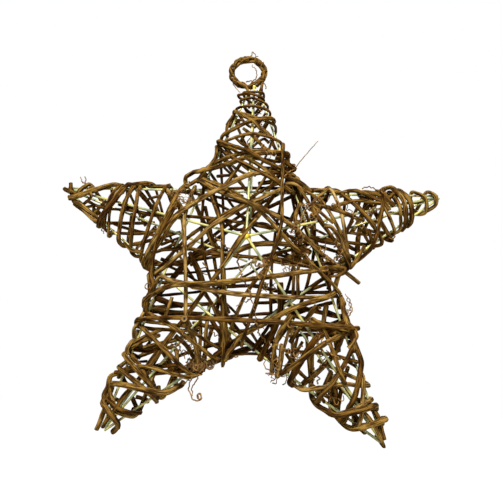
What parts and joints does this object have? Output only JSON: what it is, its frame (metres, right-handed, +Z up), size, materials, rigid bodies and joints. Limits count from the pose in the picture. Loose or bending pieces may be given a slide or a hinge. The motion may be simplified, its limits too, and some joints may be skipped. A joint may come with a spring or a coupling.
{
  "type": "rattan star ornament",
  "caption": "Five-pointed hollow wire star bound all over with dried brown vines, raised to a low point in front and behind, with a coiled vine ring at the top to hang it by.",
  "frame": {"origin": "the inner top of the hanging ring, where a hook carries it", "axes": "+Z up to the hook, the front toward -Y, +X to the right seen from the front"},
  "size_m": [0.3937, 0.1195, 0.4154],
  "materials": {
    "galvanised_wire": "thin galvanised wire with a yellowish passivated zinc coat, partly dull grey",
    "vine_bark": "dry brown vine with its bark on, grooved along its length, matt"
  },
  "bodies": {
    "root": {"top_edge_wire": "galvanised_wire", "top_front_ridge_wire": "galvanised_wire", "top_back_ridge_wire": "galvanised_wire", "right_edge_wire": "galvanised_wire", "right_front_ridge_wire": "galvanised_wire", "right_back_ridge_wire": "galvanised_wire", "lower_right_edge_wire": "galvanised_wire", "lower_right_front_ridge_wire": "galvanised_wire", "lower_right_back_ridge_wire": "galvanised_wire", "lower_left_edge_wire": "galvanised_wire", "lower_left_front_ridge_wire": "galvanised_wire", "lower_left_back_ridge_wire": "galvanised_wire", "left_edge_wire": "galvanised_wire", "left_front_ridge_wire": "galvanised_wire", "left_back_ridge_wire": "galvanised_wire", "hanging_ring": "vine_bark", "left_arm_lower_vine": "vine_bark", "top_tip_vine": "vine_bark", "left_tip_vine": "vine_bark", "right_tip_vine": "vine_bark", "lower_left_tip_vine": "vine_bark", "lower_right_tip_vine": "vine_bark", "left_arm_crossing_vine": "vine_bark", "left_armpit_vine": "vine_bark", "left_arm_upper_vine": "vine_bark", "left_arm_thick_vine": "vine_bark", "left_arm_long_vine": "vine_bark", "top_arm_wrapping_vine": "vine_bark", "top_arm_thick_vine": "vine_bark", "right_arm_thin_vine": "vine_bark", "right_arm_upper_vine": "vine_bark", "right_arm_long_vine": "vine_bark", "right_arm_light_vine": "vine_bark", "right_arm_thick_vine_inner": "vine_bark", "right_arm_thick_vine_outer": "vine_bark", "lower_left_ridge_vine": "vine_bark", "lower_left_upper_vine": "vine_bark", "lower_left_middle_vine": "vine_bark", "lower_left_flat_vine": "vine_bark", "lower_left_outer_vine": "vine_bark", "lower_left_cut_vine": "vine_bark", "lower_left_end_vine": "vine_bark", "lower_right_steep_vine": "vine_bark", "lower_right_rising_vine": "vine_bark", "lower_right_flat_vine": "vine_bark", "lower_right_folded_vine": "vine_bark", "lower_right_edge_vine": "vine_bark", "lower_right_level_vine": "vine_bark", "lower_right_outer_vine": "vine_bark", "front_hanging_vine": "vine_bark", "front_upright_vine": "vine_bark", "front_middle_vine": "vine_bark", "front_lower_vine": "vine_bark", "front_slanting_vine": "vine_bark", "top_arm_arching_vine": "vine_bark", "front_rising_vine": "vine_bark", "front_falling_vine": "vine_bark", "front_looped_vine": "vine_bark", "front_straight_vine": "vine_bark", "front_long_vine": "vine_bark"}
  },
  "joints": []
}
